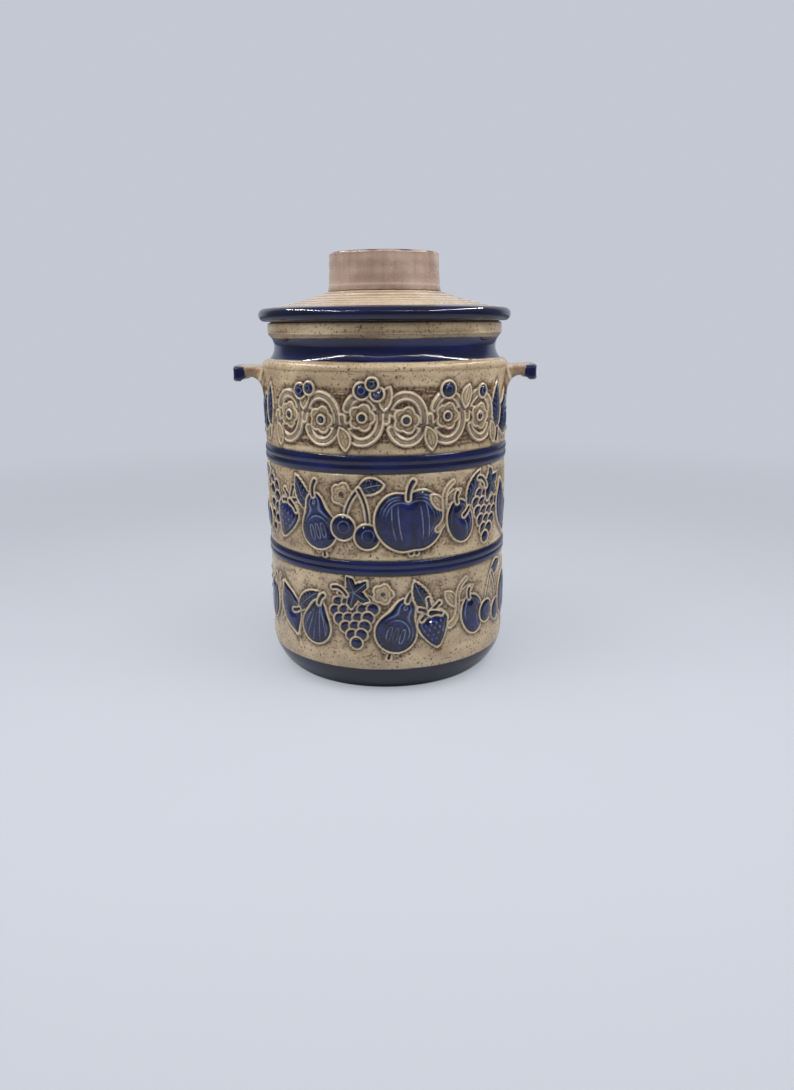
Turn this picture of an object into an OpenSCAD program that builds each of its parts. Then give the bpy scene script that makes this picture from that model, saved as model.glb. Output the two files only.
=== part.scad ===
// Rumtopf crock: a tall stoneware jar for fruit preserved in rum, with two solid
// lug handles and a loose lid with a wide hollow knob.
// Millimetres, +Z up. The origin is the centre of the foot, where the jar stands.
// The handles lie on the X axis, and the front of the jar faces -Y.

/* [Foot and base] */
// Radius of the rounding between the wall and the foot
base_edge_r = 34; // [28.5:0.5:40]
// Height at which that rounding meets the upright wall
base_edge_h = 27.4; // [20:0.2:28]
// Width of the flat ring that the jar stands on
foot_ring_w = 7; // [4:0.5:14]
// Depth of the shallow recess inside the foot ring
foot_recess_h = 2.4; // [0.5:0.1:4]
// Thickness of the floor above the recess
floor_t = 8; // [5:0.5:14]
// Radius of the rounding between the floor and the wall inside
inner_corner_r = 20; // [8:1:30]

/* [Body wall] */
// How far the three broad bands stand out past the narrowest part of the neck
body_out = 9.3; // [8.8:0.1:16]
// Thickness of the upright wall
wall_t = 8; // [5:0.5:11]
// Height of the lower broad band above the base rounding
low_band_h = 63.8; // [45:0.2:80]
// Height of the middle broad band
mid_band_h = 62.6; // [45:0.2:80]
// Height of the upper broad band, up to the shoulder edge
top_band_h = 58.3; // [45:0.1:80]

/* [Rolled cordons] */
// Height of the lower rolled cordon
low_cordon_h = 11; // [6:0.5:16]
// Height of the upper rolled cordon
top_cordon_h = 12.9; // [6:0.1:16]
// How far the fine groove at each cordon edge lies inside the broad bands
cordon_groove = 0.9; // [0.3:0.1:2]
// How far the crown of a cordon stands out past the broad bands
cordon_crown = 0.5; // [0:0.1:2]

/* [Neck and rim] */
// Radius of the rounded shoulder edge above the upper band
shoulder_r = 3.8; // [1:0.1:6]
// Radius of the mouth
mouth_r = 77.5; // [62:0.5:92]
// Thickness of the wall at the narrowest part of the neck
neck_t = 7.2; // [5:0.1:9]
// Radius of the hollow curve of the neck
neck_cove_r = 11.9; // [9:0.1:16]
// Height of the plain rim collar above the neck
collar_h = 8.2; // [5:0.1:14]
// How far the collar stands out past the narrowest part of the neck
collar_out = 4.3; // [3.6:0.1:5]
// Height of the sloping shoulder inside, under the mouth
inner_shoulder_h = 14; // [8:1:20]
// Radius of the small roundings of the rim
rim_edge_r = 1.6; // [0.5:0.1:2.5]

/* [Lug handles] */
// How far a lug reaches out from the wall
lug_reach = 23; // [18:0.5:32]
// Width of a lug, along the wall
lug_w = 48; // [40:1:60]
// How far the flat top of a lug lies below the shoulder edge
lug_drop = 0.9; // [0:0.1:6]
// Thickness of a lug at its outer lip
lug_lip_h = 11.6; // [10:0.2:14]
// Radius of the finger groove under a lug
lug_groove_r = 12.1; // [9:0.1:13]
// Thickness of a lug above the middle of the finger groove
lug_grip_t = 8.3; // [6.5:0.1:9]
// Gap between the wall and the start of the finger groove
lug_groove_gap = 0.5; // [0:0.1:2]
// How far the middle of the outer lip stands out past its corners
lug_tip_crown = 4; // [1:0.5:7]
// Radius of the roundings of the outer lip, in side view
lug_lip_r = 2.2; // [1:0.1:3]
// Radius of the corners of the outer lip, seen from above
lug_corner_r = 5; // [2:0.5:7]
// Width of the raised collar round the root of a lug
lug_collar_w = 57; // [54:1:66]
// How far that collar stands out from the wall
lug_collar_out = 3.4; // [1:0.1:5]
// How far that collar reaches below the start of the finger groove
lug_collar_low = 2.6; // [0:0.1:6]
// Radius of the lower corners of that collar
lug_collar_r = 10; // [4:0.5:14]
// Thickness of the slip that joins a lug to the wall
slip_t = 0.05; // [0:0.01:0.2]

/* [Lid] */
// How far the lid reaches out past the rim collar
lid_overhang = 6.6; // [5:0.1:16]
// Radius of the rolled edge of the lid
lid_edge_r = 4.8; // [4:0.1:5.5]
// Gap that shows between the rim and the rolled edge
lid_shadow_gap = 0.7; // [0.2:0.1:1.5]
// How far the flat ring that the lid rests on ends inside the rim collar
lid_seat_in = 2.4; // [1.6:0.1:3.2]
// Height of the top of the lid above the jar's rim, at the knob
lid_rise = 22; // [20:0.5:28]
// How far the slope of the lid sags below a straight line
lid_slope_sag = 1.4; // [0.2:0.1:2.5]
// Thickness of the middle of the lid
lid_t = 7.5; // [5:0.5:9]
// Depth of the ring under the lid that centres it in the mouth
flange_h = 8.5; // [5:0.5:12]
// Thickness of that ring
flange_t = 6.5; // [4:0.5:9]
// Clearance all round between that ring and the mouth
flange_gap = 1.3; // [0.8:0.1:2.5]

/* [Knob] */
// Radius of the knob where it meets the lid
knob_base_r = 42.8; // [36:0.2:45]
// How much the knob narrows towards its top
knob_taper = 1.5; // [0:0.1:4]
// Height of the knob
knob_h = 27.9; // [20:0.1:36]
// Thickness of the knob's wall
knob_wall_t = 6.5; // [4:0.5:9]
// Radius of the roundings of the knob's rim
knob_edge_r = 2; // [0.5:0.1:2.2]
// Width of the flat on the lid, past the knob's foot
knob_ledge_w = 1.2; // [0.4:0.1:3]

/* [Smoothness] */
// Number of steps in a quarter turn of a rounding
round_steps = 8; // [4:1:12]

/* [Hidden] */

$fn = 120;
overlap = 1;

neck_r = mouth_r + neck_t;
collar_r = neck_r + collar_out;
body_r = neck_r + body_out;
inner_r = body_r - wall_t;
foot_r = body_r - base_edge_r + sqrt(pow(base_edge_r, 2) - pow(base_edge_h, 2));
floor_z = foot_recess_h + floor_t;

low_cordon_z = base_edge_h + low_band_h;
mid_band_z = low_cordon_z + low_cordon_h;
top_cordon_z = mid_band_z + mid_band_h;
top_band_z = top_cordon_z + top_cordon_h;
shoulder_z = top_band_z + top_band_h;
neck_z = shoulder_z + shoulder_r;
cove_reach = acos(1 - collar_out / neck_cove_r);
cove_h = neck_cove_r * sin(cove_reach);
collar_z = neck_z + 2 * cove_h;
rim_z = collar_z + collar_h;
groove_r = body_r - cordon_groove;
crown_r = body_r + cordon_crown;
mouth_low_z = neck_z + rim_edge_r;

lug_top_z = shoulder_z - lug_drop;
lug_lip_z = lug_top_z - lug_lip_h;
lug_groove_x = body_r + lug_groove_gap + lug_groove_r - pow(lug_w / 2, 2) / (2 * body_r);
lug_groove_z = lug_top_z - lug_grip_t - lug_groove_r;
lug_tip_x = body_r + lug_reach;
lug_tip_r = (pow(lug_w / 2, 2) + pow(lug_tip_crown, 2)) / (2 * lug_tip_crown);
lug_inner_x = inner_r;
lug_seat_r = body_r + slip_t;

lid_r = collar_r + lid_overhang;
lid_seat_r = collar_r - lid_seat_in;
lid_edge_x = lid_r - lid_edge_r;
lid_edge_z = rim_z + lid_shadow_gap + lid_edge_r;
lid_top_z = rim_z + lid_rise;
ledge_r = knob_base_r + knob_ledge_w;
flange_r = mouth_r - flange_gap;
flange_in_r = flange_r - flange_t;
flange_low_z = rim_z - flange_h;
knob_top_r = knob_base_r - knob_taper;
knob_top_z = lid_top_z + knob_h;

// Points of an arc about a centre, from angle a to angle b
function arc(centre, r, a, b, steps = 0) =
    let (n = steps > 0 ? steps : max(2, ceil(round_steps * abs(b - a) / 90)))
    [for (i = [0 : n]) let (t = a + (b - a) * i / n) centre + r * [cos(t), sin(t)]];

// Points of a shallow arc between two points, bowed to the left of its run by sag
function bow(p, q, sag, steps) =
    let (
        run = q - p,
        chord = norm(run),
        side = [-run[1], run[0]] / chord
    )
    [for (i = [0 : steps]) let (t = i / steps) p + run * t + side * (4 * sag * t * (1 - t))];

// The outline of a rolled cordon: a fine groove, a rounded crown, a fine groove
function cordon(z, h) = bow([groove_r, z], [groove_r, z + h], groove_r - crown_r, 2 * round_steps);

// The jar: foot, rounded base, three bands with cordons between, neck, collar and mouth
module pot_body() {
    cove_centre = [neck_r + neck_cove_r, neck_z + cove_h];
    neck_cove = arc(cove_centre, neck_cove_r, 180 + cove_reach, 180 - cove_reach);
    outside = concat(
        arc([body_r - base_edge_r, base_edge_h], base_edge_r, -asin(base_edge_h / base_edge_r), 0),
        cordon(low_cordon_z, low_cordon_h),
        [[body_r, mid_band_z + cordon_groove], [body_r, top_cordon_z - cordon_groove]],
        cordon(top_cordon_z, top_cordon_h),
        [[body_r, top_band_z + cordon_groove]],
        arc([body_r - shoulder_r, shoulder_z], shoulder_r, 0, 90),
        neck_cove,
        arc([collar_r - rim_edge_r, rim_z - rim_edge_r], rim_edge_r, 0, 90)
    );
    inside = concat(
        arc([mouth_r + rim_edge_r, rim_z - rim_edge_r], rim_edge_r, 90, 180),
        [[mouth_r, mouth_low_z], [inner_r, mouth_low_z - inner_shoulder_h]],
        arc([inner_r - inner_corner_r, floor_z + inner_corner_r], inner_corner_r, 0, -90),
        [[0, floor_z], [0, foot_recess_h]]
    );
    underside = [
        [foot_r - foot_ring_w - foot_recess_h, foot_recess_h],
        [foot_r - foot_ring_w, 0]
    ];
    color("tan") rotate_extrude() polygon(concat(outside, inside, underside));
}

// Side view of a lug: flat top, rounded outer lip and the finger groove below
module lug_side() {
    difference() {
        polygon(concat(
            [[lug_inner_x, lug_top_z]],
            arc([lug_tip_x - lug_lip_r, lug_top_z - lug_lip_r], lug_lip_r, 90, 0),
            arc([lug_tip_x - lug_lip_r, lug_lip_z + lug_lip_r], lug_lip_r, 0, -90),
            [[lug_groove_x, lug_lip_z], [lug_groove_x, lug_groove_z], [lug_inner_x, lug_groove_z]]
        ));
        translate([lug_groove_x, lug_groove_z]) circle(lug_groove_r);
    }
}

// A lug seen from above: straight sides, a bowed outer lip with rounded corners
module lug_plan() {
    corner = [lug_tip_x - lug_tip_crown - lug_corner_r, lug_w / 2 - lug_corner_r];
    lean = asin(corner[1] / (lug_tip_r - lug_corner_r));
    polygon(concat(
        [[lug_inner_x, -lug_w / 2]],
        arc([corner[0], -corner[1]], lug_corner_r, -90, -lean),
        arc([lug_tip_x - lug_tip_r, 0], lug_tip_r, 1 - lean, lean - 1, 2 * round_steps),
        arc(corner, lug_corner_r, lean, 90),
        [[lug_inner_x, lug_w / 2]]
    ));
}

// The raised collar of clay round the root of a lug, with rounded lower corners
module lug_collar() {
    low_z = lug_groove_z - lug_collar_low;
    side_y = lug_collar_w / 2;
    intersection() {
        translate([lug_inner_x, 0, 0]) rotate([90, 0, 90])
            linear_extrude(body_r + lug_collar_out - lug_inner_x) polygon(concat(
                [[side_y, lug_top_z], [-side_y, lug_top_z]],
                arc([lug_collar_r - side_y, low_z + lug_collar_r], lug_collar_r, 180, 270),
                arc([side_y - lug_collar_r, low_z + lug_collar_r], lug_collar_r, -90, 0)
            ));
        translate([0, 0, low_z - overlap])
            cylinder(r = body_r + lug_collar_out, h = lug_top_z - low_z + 2 * overlap);
    }
}

// A solid lug handle on the +X side, cut to the curve of the wall that it is luted to
module lug() {
    difference() {
        union() {
            intersection() {
                translate([0, lug_w / 2 + overlap, 0]) rotate([90, 0, 0])
                    linear_extrude(lug_w + 2 * overlap) lug_side();
                translate([0, 0, lug_groove_z - overlap])
                    linear_extrude(lug_top_z - lug_groove_z + 2 * overlap) lug_plan();
            }
            lug_collar();
        }
        cylinder(r = lug_seat_r, h = rim_z);
    }
}

module handle_right() { color("tan") lug(); }

module handle_left() { color("tan") mirror([1, 0, 0]) lug(); }

// The lid: rolled edge, concave slope, flat middle and the centring ring underneath
module lid_plate() {
    slope_start = [lid_edge_x, lid_edge_z + lid_edge_r];
    top = concat(
        arc([lid_edge_x, lid_edge_z], lid_edge_r, -90, 90),
        bow(slope_start, [ledge_r, lid_top_z], lid_slope_sag, 2 * round_steps),
        [[0, lid_top_z]]
    );
    underside = [
        [0, lid_top_z - lid_t],
        [knob_base_r, lid_top_z - lid_t],
        [flange_in_r, rim_z + rim_edge_r],
        [flange_in_r, flange_low_z],
        [flange_r - rim_edge_r, flange_low_z],
        [flange_r, flange_low_z + rim_edge_r],
        [flange_r, rim_z],
        [lid_seat_r, rim_z],
        [lid_seat_r + lid_shadow_gap, rim_z + lid_shadow_gap]
    ];
    color("tan") rotate_extrude() polygon(concat(top, underside));
}

// The wide hollow knob: a tapered ring, open at the top, luted to the lid
module lid_knob() {
    color("rosybrown") rotate_extrude() polygon(concat(
        [[knob_base_r, lid_top_z]],
        arc([knob_top_r - knob_edge_r, knob_top_z - knob_edge_r], knob_edge_r, 0, 90),
        arc([knob_top_r - knob_wall_t + knob_edge_r, knob_top_z - knob_edge_r], knob_edge_r, 90, 180),
        [[knob_base_r - knob_wall_t, lid_top_z]]
    ));
}

pot_body();
handle_left();
handle_right();
lid_plate();
lid_knob();
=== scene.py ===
import math

import bpy
import numpy as np
from mathutils import Matrix, Vector


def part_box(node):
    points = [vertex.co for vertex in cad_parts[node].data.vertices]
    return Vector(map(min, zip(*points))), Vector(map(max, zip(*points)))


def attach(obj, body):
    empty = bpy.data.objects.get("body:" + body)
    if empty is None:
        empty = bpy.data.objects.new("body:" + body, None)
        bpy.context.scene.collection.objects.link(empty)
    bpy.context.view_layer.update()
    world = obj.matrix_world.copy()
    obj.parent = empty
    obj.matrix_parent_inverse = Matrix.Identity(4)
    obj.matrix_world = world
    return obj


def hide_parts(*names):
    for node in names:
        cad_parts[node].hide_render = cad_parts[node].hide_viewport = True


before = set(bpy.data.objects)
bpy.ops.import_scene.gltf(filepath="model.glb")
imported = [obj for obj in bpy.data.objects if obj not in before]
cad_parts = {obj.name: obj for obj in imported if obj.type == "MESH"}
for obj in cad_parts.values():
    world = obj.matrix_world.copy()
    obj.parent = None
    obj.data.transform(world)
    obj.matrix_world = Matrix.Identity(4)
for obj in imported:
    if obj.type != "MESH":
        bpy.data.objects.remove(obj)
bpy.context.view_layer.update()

# A lidded stoneware jar for preserves: turned jar, lid and knob, two lug handles and three moulded friezes.
# All lengths are millimetres until a mesh is made. Friezes are drawn flat, as arc length s to the
# right of the front and height z, and are then wrapped round the jar.

MM = 0.001


def extent(node):
    """Lowest and highest corner of a solid, in millimetres."""
    low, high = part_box(node)
    return np.array(low) / MM, np.array(high) / MM


# Sizes taken from the solids
RIM_Z = extent("pot_body")[1][2]
LUG_TIP_X = extent("handle_right")[1][0]
LUG_TOP_Z = extent("handle_right")[1][2]
LUG_LOW_Z = extent("handle_right")[0][2]
LID_R = extent("lid_plate")[1][0]
LID_TOP_Z = extent("lid_plate")[1][2]
FLANGE_LOW_Z = extent("lid_plate")[0][2]
KNOB_R = extent("lid_knob")[1][0]
KNOB_TOP_Z = extent("lid_knob")[1][2]

# Jar outline
BODY_R = 94.0
EDGE_R = 34.0
EDGE_Z = 27.4
FOOT_PAINT_Z = 20.0
FOOT_R = BODY_R - EDGE_R + math.sqrt(EDGE_R ** 2 - EDGE_Z ** 2)
LOW_CORDON = (91.2, 102.2)
TOP_CORDON = (164.8, 177.7)
GROOVE_R = 93.1
SHOULDER_Z = 236.0
BAND_TOP_Z = SHOULDER_Z - 2
SHOULDER_R = 3.8
NECK_R = 84.7
COVE_R = 11.9
COLLAR_R = 89.0
NECK_PAINT = (240.3, 255.4)
MOUTH_R = 77.5
INNER_R = 86.0
RIM_EDGE = 1.6
MOUTH_LOW_Z = 241.4
INNER_TOP_Z = 227.4
FLOOR_Z = 10.4
FLOOR_EDGE_R = 20.0
RECESS_Z = 2.4
SKIN_R = 92.3

# Friezes
PITCH = 0.39
GROUND_R = 93.35
BACK_R = 91.2
ROUND = 2 * math.pi * BODY_R
SECTORS = 4
FILL = 1.17
DEEPEST_R = 92.4
HIGHEST_R = BODY_R + 1.3


def fade(x, low, high):
    """Smooth step: 0 up to low, 1 from high on, an S-shaped cubic between."""
    t = np.clip((x - low) / (high - low), 0, 1)
    return t * t * (3 - 2 * t)


def bell(x, middle, width):
    """Bell curve: 1 at the middle, falling to 1/e at the given width on either side."""
    return np.exp(-((x - middle) / width) ** 2)


def mix(a, b, share):
    """Straight mix of a and b."""
    return a + (b - a) * share


def patchy(rows, cols, row_cell, col_cell, seed):
    """Smooth random field from 0 to 1: random values on a coarse lattice that closes on itself along the
    columns, with S-shaped interpolation between lattice points."""
    lots = np.random.default_rng(seed)
    nr = max(2, int(math.ceil(rows / row_cell)) + 2)
    nc = max(2, int(round(cols / col_cell)))
    grid = lots.random((nr, nc))
    y = np.arange(rows) / row_cell
    x = np.arange(cols) * nc / cols
    y0 = y.astype(int)
    x0 = x.astype(int)
    fy = fade(y - y0, 0, 1)[:, None]
    fx = fade(x - x0, 0, 1)[None, :]
    x1 = (x0 + 1) % nc
    low = mix(grid[y0][:, x0], grid[y0][:, x1], fx)
    high = mix(grid[y0 + 1][:, x0], grid[y0 + 1][:, x1], fx)
    return mix(low, high, fy)


def arc(centre, radius, start, end, count):
    """Points of a circle's arc from one angle to another, in degrees."""
    t = np.radians(np.linspace(start, end, count))
    return np.stack([centre[0] + radius * np.cos(t), centre[1] + radius * np.sin(t)], 1)


def line(a, b, count):
    """Evenly spaced points from a to b."""
    t = np.linspace(0, 1, count)[:, None]
    return np.array(a) * (1 - t) + np.array(b) * t


def chain(*parts):
    """Outline parts joined end to end, without doubled points."""
    points = np.concatenate([np.atleast_2d(p) for p in parts])
    step = np.linalg.norm(np.diff(points, axis=0), axis=1)
    return points[np.concatenate([[True], step > 0.01])]


# Meshes

# Glaze layers of every mesh. The brown layer carries brown wash and painted shade; the pale layer carries
# pale ridges and painted highlights.
LAYERS = ("cobalt", "ridge_and_highlight", "dark", "iron_and_shade", "tone")


def cells(rows, cols, close_cols=False):
    """Corner rows and columns of each four-sided cell of a grid, turned so that a grid whose rows climb and
    whose columns run to the right faces the viewer. Columns may close on themselves."""
    last = cols if close_cols else cols - 1
    r, c = np.meshgrid(np.arange(rows - 1), np.arange(last), indexing="ij")
    r = r.ravel()
    c = c.ravel()
    corner_r = np.stack([r, r, r + 1, r + 1], 1)
    corner_c = np.stack([c, c + 1, c + 1, c], 1)
    return corner_r, corner_c


def add_piece(name, points, faces, face_uv, layers, material, body, nodes=(), crease=40):
    """A mesh from points in millimetres, a list of face arrays and matching lists of texture places, with one
    value of each glaze layer at every point. The object stays at the origin."""
    mesh = bpy.data.meshes.new(name)
    mesh.vertices.add(len(points))
    mesh.vertices.foreach_set("co", (points * MM).astype(np.float32).ravel())
    loops = np.concatenate([f.ravel() for f in faces]).astype(np.int32)
    sizes = np.concatenate([np.full(len(f), f.shape[1]) for f in faces])
    starts = np.concatenate([[0], np.cumsum(sizes)[:-1]]).astype(np.int32)
    mesh.loops.add(len(loops))
    mesh.polygons.add(len(sizes))
    mesh.polygons.foreach_set("loop_start", starts)
    mesh.polygons.foreach_set("vertices", loops)
    mesh.update(calc_edges=True)
    mesh.polygons.foreach_set("use_smooth", np.ones(len(sizes), bool))
    uv = mesh.uv_layers.new(name="OFBake")
    places = np.concatenate([p.reshape(-1, 2) for p in face_uv]).astype(np.float32)
    uv.data.foreach_set("uv", places.ravel())
    for key in LAYERS:
        layer = mesh.attributes.new(key, "FLOAT", "POINT")
        values = np.broadcast_to(layers.get(key, 0.0), (len(points),))
        layer.data.foreach_set("value", np.ascontiguousarray(values, np.float32))
    mesh.set_sharp_from_angle(angle=math.radians(crease))
    mesh.materials.append(material)
    piece = bpy.data.objects.new(name, mesh)
    bpy.context.scene.collection.objects.link(piece)
    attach(piece, body)
    if nodes:
        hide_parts(*nodes)
    return piece


def turned(name, outline, columns, layers, material, body, nodes):
    """Surface of revolution: the outline of (radius, height) points carried round the upright axis. An
    outline whose ends lie on the axis closes in poles, any other closes on itself. It runs outwards below, up
    outside and inwards above. layers gives each glaze layer from (radius, height, angle) arrays."""
    poles = outline[0][0] < 1e-6
    ring = outline[1:-1] if poles else outline
    rows = len(ring)
    angle = np.linspace(0, 2 * math.pi, columns, endpoint=False)
    r = np.repeat(ring[:, :1], columns, 1)
    z = np.repeat(ring[:, 1:], columns, 1)
    a = np.repeat(angle[None, :], rows, 0)
    path = np.concatenate([[0], np.cumsum(np.linalg.norm(np.diff(ring, axis=0), axis=1))])
    made = layers(r, z, a)
    made = {key: np.broadcast_to(value, r.shape).ravel() for key, value in made.items()}
    points = np.stack([r * np.sin(a), -r * np.cos(a), z], 2).reshape(-1, 3)
    full = np.concatenate([path, [path[-1] + np.linalg.norm(ring[0] - ring[-1])]])
    corner_r, corner_c = cells(rows if poles else rows + 1, columns, True)
    faces = [(corner_r % rows) * columns + corner_c % columns]
    face_uv = [np.stack([corner_c / columns, full[corner_r] / full[-1]], 2)]
    if poles:
        count = len(points)
        points = np.vstack([points, [0, 0, outline[0][1]], [0, 0, outline[-1][1]]])
        made = {key: np.append(value, [value[0], value[-1]]) for key, value in made.items()}
        c = np.arange(columns)
        n = (c + 1) % columns
        top = (rows - 1) * columns
        faces.append(np.stack([np.full(columns, count), n, c], 1))
        faces.append(np.stack([top + c, top + n, np.full(columns, count + 1)], 1))
        face_uv.append(np.broadcast_to([[0.5, 0.0]] * 3, (columns, 3, 2)))
        face_uv.append(np.broadcast_to([[0.5, 1.0]] * 3, (columns, 3, 2)))
    return add_piece(name, points, faces, face_uv, made, material, body, nodes)


# Drawing on a frieze: every form is a signed distance in millimetres, negative inside

class Patch:
    """A window of a frieze. u runs right and v up from the middle of a motif, in its own turned axes."""

    def __init__(self, frieze, s, z, turn, reach):
        self.frieze = frieze
        half = int(reach / frieze.step) + 1
        mid = int(round(s / frieze.step))
        self.cols = np.arange(mid - half, mid + half + 1)
        r0 = max(0, int((z - reach - frieze.z[0]) / frieze.rise))
        r1 = min(len(frieze.z), int((z + reach - frieze.z[0]) / frieze.rise) + 1)
        self.rows = np.arange(r0, r1)
        du = (self.cols * frieze.step - s)[None, :]
        dv = (frieze.z[self.rows] - z)[:, None]
        c = math.cos(math.radians(turn))
        w = math.sin(math.radians(turn))
        self.u = du * c + dv * w
        self.v = dv * c - du * w
        self.index = np.ix_(self.rows, self.cols % frieze.count)

    def blend(self, cover, **values):
        """Lays the given values over the frieze where cover is 1."""
        for key, value in values.items():
            field = getattr(self.frieze, key)
            field[self.index] = mix(field[self.index], value, cover)

    def add(self, **values):
        """Adds to the frieze."""
        for key, value in values.items():
            getattr(self.frieze, key)[self.index] += value

    def form(self, d, crown=1.3, puff=7.0, paint=1.0, bead=1.0, tone=0.35, rings=(), wash=1.0):
        """A raised form with a pale rounded bead round it, a cut inside the bead darkened with painted shade,
        and brown wash outside. The top swells like a cushion over the distance puff. Rings are pale lines at
        depths inside."""
        near = 1 - fade(d, 1.5, 2.1)
        inside = 1 - fade(d, -0.25, 0.15)
        depth = np.clip(-d / puff, 0, 1)
        swell = crown * np.sqrt(np.clip(1 - (1 - depth) ** 2, 0, 1))
        edge = bead * 0.95 * bell(d, 0.85, 0.72)
        # The cut just inside the bead; the dark and brown laid along it are painted shade.
        cut = bell(d, -0.35, 0.5)
        pale = bell(d, 0.85, 0.62) * bead
        lift = np.zeros_like(d)
        for ring in rings:
            line_here = bell(d, -ring, 0.42) * fade(self.u * 0.6 + self.v, -9, 3)
            lift = np.maximum(lift, line_here)
        halo = wash * bell(np.maximum(d, 0), 1.7, 2.4) * (d > 0)
        self.blend(np.clip(halo * 0.9, 0, 1) * (1 - near), iron_and_shade=1.0)
        self.blend(halo * (1 - near), height=-0.32)
        self.blend(
            near,
            height=swell * inside + edge - 0.4 * cut + 0.3 * lift,
            cobalt=inside * paint,
            ridge_and_highlight=np.maximum(pale, 0.8 * lift),
            dark=np.clip(1.5 * cut, 0, 1) * (0.35 + 0.65 * paint),
            iron_and_shade=0.25 * cut * (1 - paint),
            tone=np.clip(tone + 0.25 * depth, 0, 1),
        )

    def rib(self, d, width=0.45, high=0.35, strength=1.0):
        """A fine pale raised line along d = 0, with a dark line on either side, on a form already laid."""
        crest = bell(d, 0, width) * strength
        sides = np.clip(bell(np.abs(d), 2.1 * width, width) * strength, 0, 1)
        self.blend(crest, ridge_and_highlight=0.85)
        self.blend(sides * 0.8, dark=1.0)
        self.add(height=high * crest - 0.5 * high * sides)

    def cut(self, d, width=0.5, deep=0.35, strength=1.0):
        """A fine dark groove along d = 0."""
        groove = bell(d, 0, width) * strength
        self.blend(groove, dark=1.0, ridge_and_highlight=0.0)
        self.add(height=-deep * groove)


class Frieze:
    """Height above the ground and glaze layers of one band, on a grid closed round the jar."""

    def __init__(self, low, high, seed):
        self.count = int(ROUND / PITCH / SECTORS / 2) * SECTORS * 2
        self.step = ROUND / self.count
        rows = int(round((high - low) / PITCH)) + 1
        self.z = np.linspace(low, high, rows)
        self.rise = self.z[1] - self.z[0]
        shape = (rows, self.count)
        for key in ("height", *LAYERS):
            setattr(self, key, np.zeros(shape))
        self.seed = seed

    def noise(self, up, along, seed):
        """Patchy field with cells of the given size in millimetres."""
        shape = self.height.shape
        return patchy(shape[0], shape[1], up / self.rise, along / self.step, self.seed + seed)


def circle(u, v, x, y, r):
    """Distance to a circle: the distance to its centre, less its radius."""
    return np.hypot(u - x, v - y) - r


def oval(u, v, x, y, a, b):
    """Near distance to an ellipse: its level function divided by its slope."""
    p = (u - x) / a
    q = (v - y) / b
    f = np.sqrt(p * p + q * q) + 1e-6
    slope = np.sqrt((p / a) ** 2 + (q / b) ** 2) / f + 1e-6
    return (f - 1) / slope


def vesica(across, along, half_length, half_width):
    """Distance to a leaf shape made by two equal circles, with points at both ends of its long axis."""
    r = (half_length ** 2 + half_width ** 2) / (2 * half_width)
    return np.hypot(np.abs(across) + r - half_width, along) - r


def melt(a, b, k):
    """Smooth union of two distances: the smaller one, less up to a quarter of k where they are alike."""
    h = np.clip(0.5 + 0.5 * (b - a) / k, 0, 1)
    return mix(b, a, h) - k * h * (1 - h)


def curve(*knots, count=24):
    """Bezier curve through its first and last knots, pulled by those between."""
    t = np.linspace(0, 1, count)[:, None]
    points = np.zeros((count, 2))
    n = len(knots) - 1
    for i, knot in enumerate(knots):
        points += math.comb(n, i) * t ** i * (1 - t) ** (n - i) * np.array(knot, float)
    return points


def spiral(centre, start, end, r0, r1, count=40):
    """Points of a spiral whose radius goes evenly from r0 to r1 between two angles in degrees."""
    t = np.radians(np.linspace(start, end, count))
    r = np.linspace(r0, r1, count)
    return np.stack([centre[0] + r * np.cos(t), centre[1] + r * np.sin(t)], 1)


def track(u, v, points):
    """Distance to a chain of points, how far along it the nearest point lies from 0 to 1, and the side."""
    best = np.full(u.shape, 1e9)
    along = np.zeros(u.shape)
    side = np.zeros(u.shape)
    legs = np.linalg.norm(np.diff(points, axis=0), axis=1)
    total = legs.sum()
    done = 0.0
    for a, b, leg in zip(points[:-1], points[1:], legs):
        ex, ey = (b - a) / leg
        px = u - a[0]
        py = v - a[1]
        t = np.clip(px * ex + py * ey, 0, leg)
        d = np.hypot(px - t * ex, py - t * ey)
        near = d < best
        best = np.where(near, d, best)
        along = np.where(near, (done + t) / total, along)
        side = np.where(near, ex * py - ey * px, side)
        done += leg
    return best, along, side


def stem(p, points, r0=1.1, r1=0.8, paint=1.0, bead=0.8, crown=0.9, blob=0.0):
    """A stalk along a chain of points, tapering from r0 to r1, with a rounded blob at its end."""
    d, t, _ = track(p.u, p.v, points)
    d = d - mix(r0, r1, t)
    if blob:
        d = melt(d, circle(p.u, p.v, *points[-1], blob), 1.0)
    p.form(d, crown=crown, puff=1.6, paint=paint, bead=bead, wash=0.7)


def leaf(p, base, tip, width, paint=1.0, bend=0.0, toothed=0.0):
    """A leaf from base to tip: a bent vesica with a midrib and slanting side veins. Teeth ripple its edge."""
    base = np.array(base, float)
    tip = np.array(tip, float)
    length = np.linalg.norm(tip - base)
    ex, ey = (tip - base) / length
    mid = (base + tip) / 2
    along = (p.u - mid[0]) * ex + (p.v - mid[1]) * ey
    across = (p.v - mid[1]) * ex - (p.u - mid[0]) * ey
    across = across - bend * (1 - (2 * along / length) ** 2)
    wave = toothed * np.abs(np.sin(along * math.pi / 3.4))
    d = vesica(across, along, length / 2, width / 2) + wave
    p.form(d, crown=0.95, puff=width / 2, paint=paint, tone=0.15, bead=0.9)
    inner = 1 - fade(d, -1.2, -0.5)
    veins = 4.2
    slant = (along - 0.75 * np.abs(across)) / veins
    rows = np.abs(slant - np.round(slant)) * veins
    if paint > 0.5:
        p.rib(across, 0.4, 0.35, inner)
        p.rib(rows, 0.3, 0.2, 0.75 * inner * fade(np.abs(across), 0.6, 1.2))
    else:
        p.cut(across, 0.45, 0.3, 0.7 * inner)
        p.cut(rows, 0.35, 0.2, 0.45 * inner * fade(np.abs(across), 0.6, 1.2))


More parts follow.
